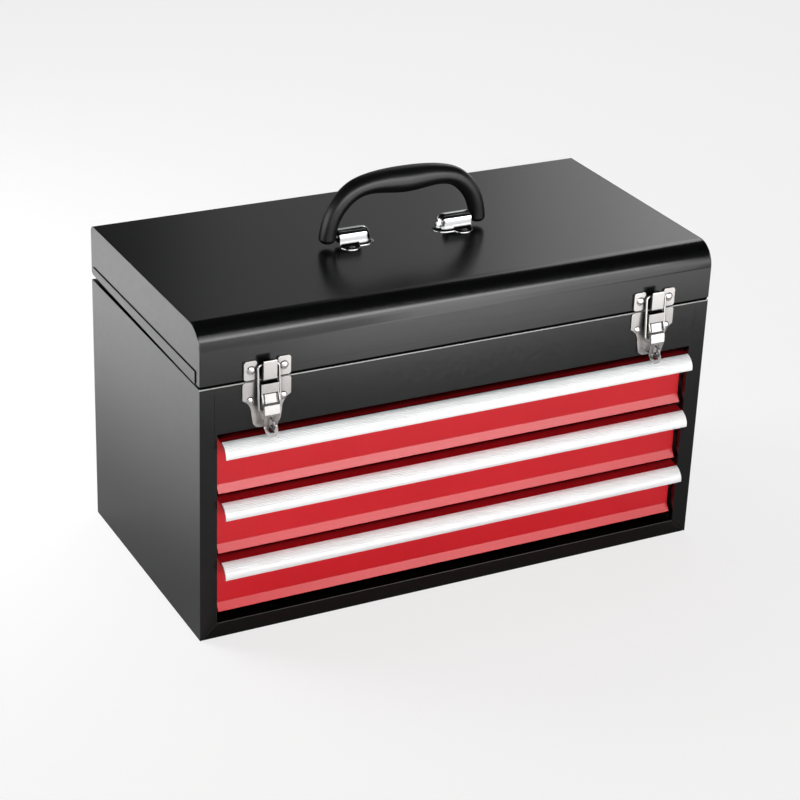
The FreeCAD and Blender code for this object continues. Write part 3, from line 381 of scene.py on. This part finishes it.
def lever_material():
    """The latch levers: nickel plate with painted shade, in the gaps between parts and on the flared finger tab at
    the foot, which is darkened to a fifth.
    """
    g = paint_gap_shade(metal("lever_nickel_plate", (0.67, 0.645, 0.63), (0.73, 0.705, 0.69), 0.22, 0.74,
                      depth=0.0000001, spread=0.006), 0.009, 0.02)
    base = g.bsdf.inputs["Base Color"].links[0].from_socket
    sep = g.node("ShaderNodeSeparateXYZ")
    g.link(g.coord.outputs["Object"], sep.inputs["Vector"])
    tab_shade = g.node("ShaderNodeMapRange", interpolation_type="SMOOTHSTEP")
    for key, v in (("From Min", 0.2074), ("From Max", 0.2092), ("To Min", 0.20), ("To Max", 1.0)):
        tab_shade.inputs[key].default_value = v
    g.link(sep.outputs["Z"], tab_shade.inputs["Value"])
    # painted shade: the finger tab below z 207.4 mm is darkened
    mix = g.node("ShaderNodeMix", data_type="RGBA", blend_type="MULTIPLY")
    mix.inputs["Factor"].default_value = 1.0
    g.link(base, mix.inputs[6])
    g.link(tab_shade.outputs["Result"], mix.inputs[7])
    g.to(mix.outputs[2], "Base Color")
    return g.mat


M["lever"] = lever_material()

SLOT = {
    "case_black": "black", "drawer_red": "red", "pull_aluminium": "pull", "slide_zinc": "zinc",
    "ball_steel": "ball", "latch_nickel": "nickel", "rivet_nickel": "rivet", "hinge_steel": "steel",
    "bracket_chrome": "chrome", "grip_plastic": "grip", "pin_steel": "pin"}
for part in frame["record"]["subparts"]:
    obj = nodes[part["node"]]
    key = SLOT[part["material_slot"]]
    if part["node"].startswith("drawer_tray"):
        key = "red_tray"
    if part["node"] in ("front_upper_panel", "side_panel_left", "side_panel_right"):
        key = "upper"
    if part["node"] == "handle_backing_plate":
        key = "black"
    if part["node"] == "lid_shell":
        key = "lid"
    if part["node"].startswith("padlock_staple"):
        key = "staple"
    if part["node"].startswith("latch_lever"):
        key = "lever"
    obj.data.materials.clear()
    obj.data.materials.append(M[key])


# -------------------------------------------------------- new mesh pieces
def smooth_mesh(name, verts, faces, material, body, node, angle=38.0):
    """Makes one mesh piece, shades it, and hands it to its body in place of a node."""
    mesh = bpy.data.meshes.new(name)
    mesh.from_pydata([tuple(c * MM for c in v) for v in verts], [], faces)
    mesh.validate()
    bm = bmesh.new()
    bm.from_mesh(mesh)
    bmesh.ops.remove_doubles(bm, verts=bm.verts, dist=0.0000005)
    bmesh.ops.recalc_face_normals(bm, faces=bm.faces)
    bm.to_mesh(mesh)
    bm.free()
    mesh.polygons.foreach_set("use_smooth", [True] * len(mesh.polygons))
    mesh.set_sharp_from_angle(angle=math.radians(angle))
    mesh.materials.append(M[material])
    obj = bpy.data.objects.new(name, mesh)
    scene.collection.objects.link(obj)
    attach(obj, body)
    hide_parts(node)
    return obj


def pull_outline(base):
    """Section of the pull: a lip over the ledge, a ribbed crown and a smooth lower half."""
    cy, cz, outer, inner = -133.3, 41.8, 12.2, 10.6
    pts = [(-135.4, 53.25), (-137.5, 52.92), (-137.5, 51.6), (-135.0, 52.03), (-135.0, 50.9)]
    start = math.atan2(50.9 - cz, -135.0 - cy)
    rin = math.hypot(50.9 - cz, -135.0 - cy)
    end = math.pi + math.asin(1.4 / inner)
    for k in range(25):
        a = start + (end - start) * k / 24.0
        r = rin + (inner - rin) * min(1.0, k / 6.0)
        pts.append((cy + r * math.cos(a), cz + r * math.sin(a)))
    low = math.pi + math.asin(1.4 / outer)
    # rounded lower edge
    mid = (inner + outer) / 2
    for k in range(1, 6):
        t = math.pi * k / 6.0
        r = mid - (outer - inner) / 2 * math.cos(t)
        a = low + 0.055 * math.sin(t) - 0.035
        pts.append((cy + r * math.cos(a), cz + r * math.sin(a)))
    top = math.acos(-2.1 / outer)
    rib0, rib1, ribs = math.radians(101.5), math.radians(153.0), 7
    steps = 210
    for k in range(steps + 1):
        a = (low - 0.04) + (top - (low - 0.04)) * k / steps
        r = outer
        if rib0 < a < rib1:
            u = (a - rib0) / (rib1 - rib0) * ribs
            depth = 0.24 if a < math.radians(116.0) else 0.42
            r -= depth * math.exp(-(((u % 1.0) - 0.5) / 0.17) ** 2)
        pts.append((cy + r * math.cos(a), cz + r * math.sin(a)))
    return [(y, z + base) for y, z in pts]


for number, base in ((1, 144.4), (2, 84.4), (3, 24.4)):
    outline = pull_outline(base)
    n = len(outline)
    verts = [(x, y, z) for x in (-240.6, 240.6) for y, z in outline]
    faces = [(i, (i + 1) % n, n + (i + 1) % n, n + i) for i in range(n)]
    faces += [tuple(range(n - 1, -1, -1)), tuple(range(n, 2 * n))]
    smooth_mesh("ribbed_pull_%d" % number, verts, faces, "pull",
                "drawer_%d" % number, "drawer_pull_%d" % number, 30.0)


def bracket_mesh(name, side, node):
    """Pressed chrome loop: arched wall, rounded nose, and a concave bend out to a foot with two lobes."""
    top, axis_z, r, wall_foot, rise = 305.0, 313.6, 7.4, 6.0, 1.5
    x1, lean = -43.4, 3.8
    hx, lobe_r, lobe_y = -58.8, 9.8, 8.2
    crown = axis_z - top

    def half(px, py):
        """From crown to rim for a wall; px and py are not used; the rim's distance is set by the caller."""
        pts = []
        for k in range(15):
            a = math.radians(90.0 - 6.0 * k)
            pts.append((r * math.cos(a), crown + r * math.sin(a)))
        for k in range(1, 4):
            pts.append((r, crown - (crown - wall_foot) * (k / 3.0)))
        # radii 0, 90 degrees come first, so the wall starts at the arch's foot
        return pts

    def bend(reach):
        """Concave curve from the wall's foot, a flat foot and a rolled rim, as offsets beyond the wall."""
        across = min(4.5, reach - 0.9)
        pts = []
        for k in range(1, 11):
            a = math.radians(9.0 * k)
            pts.append((across * (1 - math.cos(a)), wall_foot - (wall_foot - rise) * math.sin(a)))
        flat = reach - 0.9 - across
        pts += [(across + flat * 0.5 + 0.01, rise), (across + flat + 0.02, rise)]
        for k in range(1, 7):
            a = math.radians(15.0 * k)
            pts.append((reach - 0.9 + 0.9 * math.sin(a), rise - 0.9 + 0.9 * math.cos(a)))
        pts.append((reach, 0.1))
        return pts

    rows = []
    stations = [hx + lobe_r * math.sin(math.radians(-90 + 180 * k / 36.0)) for k in range(37)]
    stations += [-48.0, -46.6, -45.0, x1]
    for x in stations:
        dx = abs(x - hx)
        rim = max(10.4, lobe_y + math.sqrt(lobe_r ** 2 - dx ** 2)) if dx < lobe_r else 10.4
        sect = half(0, 1) + [(r + o, h) for o, h in bend(rim - r)]
        rows.append([(x, -o, top + h) for o, h in reversed(sect[1:])] + [(x, o, top + h) for o, h in sect])
    verts, faces = [], []
    wide = len(rows[0])
    for row in rows:
        verts += row
    for i in range(len(rows) - 1):
        for j in range(wide - 1):
            a0 = i * wide + j
            faces.append((a0, a0 + wide, a0 + wide + 1, a0 + 1))
    turns = 28
    fan = []
    for k in range(turns + 1):
        psi = math.radians(-90.0 + 180.0 * k / turns)
        c, q = math.cos(psi), math.sin(psi)
        col = []
        for o, h in half(c, q):
            slip = lean * max(0.0, (crown - h) / crown) * c
            col.append((x1 + o * c + slip, o * q, top + h))
        foot_slip = lean * (crown - wall_foot) / crown
        for o, h in bend(10.4 - r):
            # the rim lies on an oval that reaches further forward than to the sides
            ox = r + foot_slip + o * (12.0 - r - foot_slip) / (10.4 - r) if foot_slip < 4 else r + foot_slip + o
            col.append((x1 + ox * c, (r + o) * q, top + h))
        fan.append(col)
    start = len(verts)
    high = len(fan[0])
    for col in fan:
        verts += col
    for i in range(turns):
        for j in range(high - 1):
            a0 = start + i * high + j
            faces.append((a0, a0 + 1, a0 + high + 1, a0 + high))
    mesh = bpy.data.meshes.new(name)
    mesh.from_pydata([(side * x * MM, y * MM, z * MM) for x, y, z in verts], [], faces)
    bm = bmesh.new()
    bm.from_mesh(mesh)
    bmesh.ops.remove_doubles(bm, verts=bm.verts, dist=0.000002)
    bmesh.ops.dissolve_degenerate(bm, dist=0.000001, edges=bm.edges)
    bmesh.ops.recalc_face_normals(bm, faces=bm.faces)
    if sum(f.normal.z * f.calc_area() for f in bm.faces) < 0:
        bmesh.ops.reverse_faces(bm, faces=bm.faces)
    bmesh.ops.solidify(bm, geom=bm.faces[:], thickness=0.0011)
    bmesh.ops.recalc_face_normals(bm, faces=bm.faces)
    bm.to_mesh(mesh)
    bm.free()
    mesh.polygons.foreach_set("use_smooth", [True] * len(mesh.polygons))
    mesh.set_sharp_from_angle(angle=math.radians(50))
    mesh.materials.append(M["chrome"])
    obj = bpy.data.objects.new(name, mesh)
    scene.collection.objects.link(obj)
    bev = obj.modifiers.new("edge", "BEVEL")
    bev.width = 0.28 * MM
    bev.segments = 2
    bev.limit_method = "ANGLE"
    bev.angle_limit = math.radians(60)
    bev.harden_normals = True
    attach(obj, "lid")
    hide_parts(node)
    obj.visible_glossy = False
    return obj


bracket_mesh("pressed_bracket_left", 1, "handle_bracket_left")
bracket_mesh("pressed_bracket_right", -1, "handle_bracket_right")


# ------------------------------------------------------------ small edges
def soften(obj, width, segments=2, angle=32.0):
    """Breaks the sharp edges of a sheet or pressing by a fraction of a millimetre."""
    weld = obj.modifiers.new("weld", "WELD")
    weld.merge_threshold = 0.00001
    bev = obj.modifiers.new("edge", "BEVEL")
    bev.width = width * MM
    bev.segments = segments
    bev.limit_method = "ANGLE"
    bev.angle_limit = math.radians(angle)
    bev.use_clamp_overlap = True
    bev.harden_normals = True
    bev.miter_outer = "MITER_ARC"


EDGE = {
    "case_black": 0.5, "drawer_red": 0.3, "latch_nickel": 0.5, "bracket_chrome": 0.3, "hinge_steel": 0.15}
for part in frame["record"]["subparts"]:
    name = part["node"]
    width = EDGE.get(part["material_slot"])
    if width is None or name in ("back_panel", "handle_bracket_left", "handle_bracket_right", "slide_posts_left", "slide_posts_right", "padlock_staple_left",
                                 "padlock_staple_right", "latch_bail_left", "latch_bail_right"):
        continue
    width = {"front_upper_panel": 1.0, "latch_keeper_left": 1.0, "latch_keeper_right": 1.0}.get(name, width)
    soften(nodes[name], width, 4 if part["material_slot"] == "latch_nickel" else 2)
nodes["handle_bracket_rivets"].visible_glossy = False


# ------------------------------------------------------------------- stage
def floor():
    bm = bmesh.new()
    bmesh.ops.create_grid(bm, x_segments=4, y_segments=4, size=9.0)
    mesh = bpy.data.meshes.new("floor")
    bm.to_mesh(mesh)
    bm.free()
    obj = bpy.data.objects.new("floor", mesh)
    obj.location = (0, 0, -0.0002)
    scene.collection.objects.link(obj)
    g = Graph("pale_floor")
    pale = g.ramp(g.noise(2.0, 2.0), [(0.3, (0.86, 0.86, 0.86)), (0.7, (0.88, 0.88, 0.88))])
    # what the glossy sides mirror of it: painted shade, darker towards the box, standing in for the box's own shade
    # on the floor
    sep = g.node("ShaderNodeSeparateXYZ")
    g.link(g.coord.outputs["Object"], sep.inputs["Vector"])
    aside = g.node("ShaderNodeMath", operation="ABSOLUTE")
    g.link(sep.outputs["X"], aside.inputs[0])

    def fall(socket, a, b, lo, hi):
        m = g.node("ShaderNodeMapRange", interpolation_type="SMOOTHSTEP")
        for key, v in (("From Min", a), ("From Max", b), ("To Min", lo), ("To Max", hi)):
            m.inputs[key].default_value = v
        g.link(socket, m.inputs["Value"])
        return m.outputs["Result"]

    front = fall(sep.outputs["Y"], -0.13, -0.75, 0.66, 0.76)
    side = fall(aside.outputs[0], 0.28, 0.46, 0.52, 1.0)
    where = fall(sep.outputs["Y"], -0.17, -0.03, 0.0, 1.0)
    mix = g.node("ShaderNodeMix", data_type="FLOAT")
    g.link(where, mix.inputs[0])
    g.link(front, mix.inputs[2])
    g.link(side, mix.inputs[3])
    path = g.node("ShaderNodeLightPath")
    seen = g.node("ShaderNodeMix", data_type="FLOAT")
    seen.inputs[2].default_value = 1.0
    g.link(path.outputs["Is Glossy Ray"], seen.inputs[0])
    g.link(mix.outputs[0], seen.inputs[3])
    tint = g.node("ShaderNodeMix", data_type="RGBA", blend_type="MULTIPLY")
    tint.inputs[0].default_value = 1.0
    g.link(pale, tint.inputs[6])
    g.link(seen.outputs[0], tint.inputs[7])
    g.to(tint.outputs[2], "Base Color")
    g.set(Roughness=0.9, Specular_IOR_Level=0.0)
    # seen straight it is a lit white table with a faint soft shadow
    white = g.node("ShaderNodeEmission")
    white.inputs["Strength"].default_value = 0.78
    faint = g.node("ShaderNodeBsdfDiffuse")
    faint.inputs["Color"].default_value = (0.22, 0.22, 0.22, 1)
    both = g.node("ShaderNodeAddShader")
    g.link(white.outputs["Emission"], both.inputs[0])
    g.link(faint.outputs["BSDF"], both.inputs[1])
    pick = g.node("ShaderNodeMixShader")
    g.link(path.outputs["Is Camera Ray"], pick.inputs["Fac"])
    g.link(g.bsdf.outputs["BSDF"], pick.inputs[1])
    g.link(both.outputs["Shader"], pick.inputs[2])
    g.link(pick.outputs["Shader"], g.out.inputs["Surface"])
    mesh.materials.append(g.mat)


floor()


def area(name, centre, target, w, h, power, glossy=True, colour=(1, 1, 1), spread=180.0, diffuse=True):
    lamp = bpy.data.lights.new(name, "AREA")
    lamp.shape = "RECTANGLE"
    lamp.size, lamp.size_y = w, h
    lamp.energy = power
    lamp.color = colour
    lamp.spread = math.radians(spread)
    obj = bpy.data.objects.new(name, lamp)
    scene.collection.objects.link(obj)
    c, t = Vector(centre), Vector(target)
    obj.matrix_world = Matrix.Translation(c) @ (t - c).to_track_quat("-Z", "Y").to_matrix().to_4x4()
    obj.visible_camera = False
    obj.visible_glossy = glossy
    obj.visible_diffuse = diffuse
    return obj


def lamp_power(radiance, w, h):
    return radiance * w * h * math.pi


def card(name, place, across, up, w, h, stops_u, stops_v, strength):
    """A glowing studio card that only reflections see; its glow changes along both edges."""
    bm = bmesh.new()
    pts = [bm.verts.new((x * w, y * h, 0.0)) for x, y in ((0, 0), (1, 0), (1, 1), (0, 1))]
    bm.faces.new(pts)
    mesh = bpy.data.meshes.new(name)
    bm.to_mesh(mesh)
    bm.free()
    obj = bpy.data.objects.new(name, mesh)
    scene.collection.objects.link(obj)
    u, v = Vector(across).normalized(), Vector(up).normalized()
    m = Matrix.Identity(4)
    for i, axis in enumerate((u, v, u.cross(v))):
        for k in range(3):
            m[k][i] = axis[k]
    m.translation = Vector(place)
    obj.matrix_world = m
    g = Graph(name)
    g.tree.nodes.remove(g.bsdf)
    glow = g.node("ShaderNodeEmission")
    sep = g.node("ShaderNodeSeparateXYZ")
    g.link(g.coord.outputs["Object"], sep.inputs["Vector"])

    def level(axis, size, stops):
        m = g.node("ShaderNodeMath", operation="DIVIDE")
        g.link(sep.outputs[axis], m.inputs[0])
        m.inputs[1].default_value = size
        r = g.node("ShaderNodeValToRGB")
        r.color_ramp.interpolation = "EASE"
        e = r.color_ramp.elements
        while len(e) < len(stops):
            e.new(0.5)
        for el, (pos, v) in zip(e, stops):
            el.position, el.color = pos, (v, v, v, 1.0)
        g.link(m.outputs[0], r.inputs["Fac"])
        return r.outputs["Color"]

    a = g.node("ShaderNodeMath", operation="MULTIPLY")
    g.link(level("X", w, stops_u), a.inputs[0])
    g.link(level("Y", h, stops_v), a.inputs[1])
    b = g.node("ShaderNodeMath", operation="MULTIPLY")
    g.link(a.outputs[0], b.inputs[0])
    b.inputs[1].default_value = strength
    g.link(b.outputs[0], glow.inputs["Strength"])
    g.link(glow.outputs["Emission"], g.out.inputs["Surface"])
    mesh.materials.append(g.mat)
    obj.visible_camera = False
    obj.visible_diffuse = False
    obj.visible_shadow = False
    return obj


# high soft light from behind: it lights the floor and isn't mirrored
area("rear_overhead", (0.1, 1.3, 2.3), (0.0, -0.35, 0.0), 3.2, 2.2, lamp_power(1.5, 3.2, 2.2), glossy=False)
# low soft light in front of the drawers
area("front_fill", (-0.1, -2.4, 0.34), (0.0, 0.0, 0.24), 2.6, 0.66, lamp_power(7.0, 2.6, 0.66), glossy=False)
# graded cards in front, mirrored in the lid's front and rounded edge and in the bright metal
card("front_card_low", (-0.55, -0.645, 0.0), (1, 0, 0), (0, 0, 1), 1.8, 0.46,
     [(0.0, 0.25), (0.30, 0.44), (0.385, 1.0), (0.48, 1.0), (0.62, 0.70), (1.0, 0.6)],
     [(0.0, 0.95), (0.50, 0.90), (1.0, 1.0)], 3.1)
card("front_card_high", (-0.55, -0.645, 0.46), (1, 0, 0), (0, 0, 1), 1.8, 0.42,
     [(0.0, 0.8), (0.25, 1.0), (0.5, 0.95), (0.7, 0.7), (1.0, 0.6)],
     [(0.0, 0.50), (0.22, 0.90), (0.40, 1.0), (0.58, 0.90), (0.76, 0.30), (0.93, 0.0)], 6.2)
# graded card behind, mirrored in the lid's top
card("rear_card", (0.1, 1.75, 0.0), (1, 0, 0), (0, 0, 1), 2.2, 2.9,
     [(0.0, 0.02), (0.12, 0.04), (0.23, 0.15), (0.40, 0.19), (0.56, 0.46), (0.66, 0.68), (1.0, 0.74)],
     [(0.0, 0.9), (0.4, 1.0), (0.80, 0.9), (0.93, 0.0)], 1.95)
# tall card on the left, mirrored in the rounded edges that face it
card("left_card", (-1.4, 1.2, 0.0), (0, -1, 0), (0, 0, 1), 1.7, 0.95,
     [(0.0, 0.2), (0.4, 1.0), (0.9, 1.0), (1.0, 0.4)], [(0.0, 0.6), (0.3, 1.0), (0.8, 1.0), (1.0, 0.1)], 2.6)
# light on the floor behind and to the left, mirrored in the left side
area("floor_left", (-0.95, 0.75, 0.9), (-0.62, 0.60, 0.0), 0.6, 0.6, lamp_power(7.0, 0.6, 0.6), glossy=False, spread=110.0)

world = bpy.data.worlds.new("world")
scene.world = world
world.use_nodes = True
wt = world.node_tree
wt.nodes.clear()
w_out = wt.nodes.new("ShaderNodeOutputWorld")
w_bg = wt.nodes.new("ShaderNodeBackground")
w_coord = wt.nodes.new("ShaderNodeTexCoord")
w_sep = wt.nodes.new("ShaderNodeSeparateXYZ")
w_ramp = wt.nodes.new("ShaderNodeValToRGB")
wt.links.new(w_coord.outputs["Generated"], w_sep.inputs["Vector"])
wt.links.new(w_sep.outputs["Z"], w_ramp.inputs["Fac"])
el = w_ramp.color_ramp.elements
el[0].position, el[0].color = 0.0, (0.92, 0.92, 0.92, 1)
el[1].position, el[1].color = 1.0, (0.01, 0.01, 0.01, 1)
for pos, v in ((0.04, 0.75), (0.20, 0.06), (0.5, 0.012)):
    e = el.new(pos)
    e.color = (v, v, v, 1)
w_seen = wt.nodes.new("ShaderNodeLightPath")
w_back = wt.nodes.new("ShaderNodeBackground")
w_back.inputs["Color"].default_value = (0.95, 0.95, 0.95, 1)
w_mix = wt.nodes.new("ShaderNodeMixShader")
wt.links.new(w_ramp.outputs["Color"], w_bg.inputs["Color"])
wt.links.new(w_seen.outputs["Is Camera Ray"], w_mix.inputs["Fac"])
wt.links.new(w_bg.outputs["Background"], w_mix.inputs[1])
wt.links.new(w_back.outputs["Background"], w_mix.inputs[2])
wt.links.new(w_mix.outputs["Shader"], w_out.inputs["Surface"])
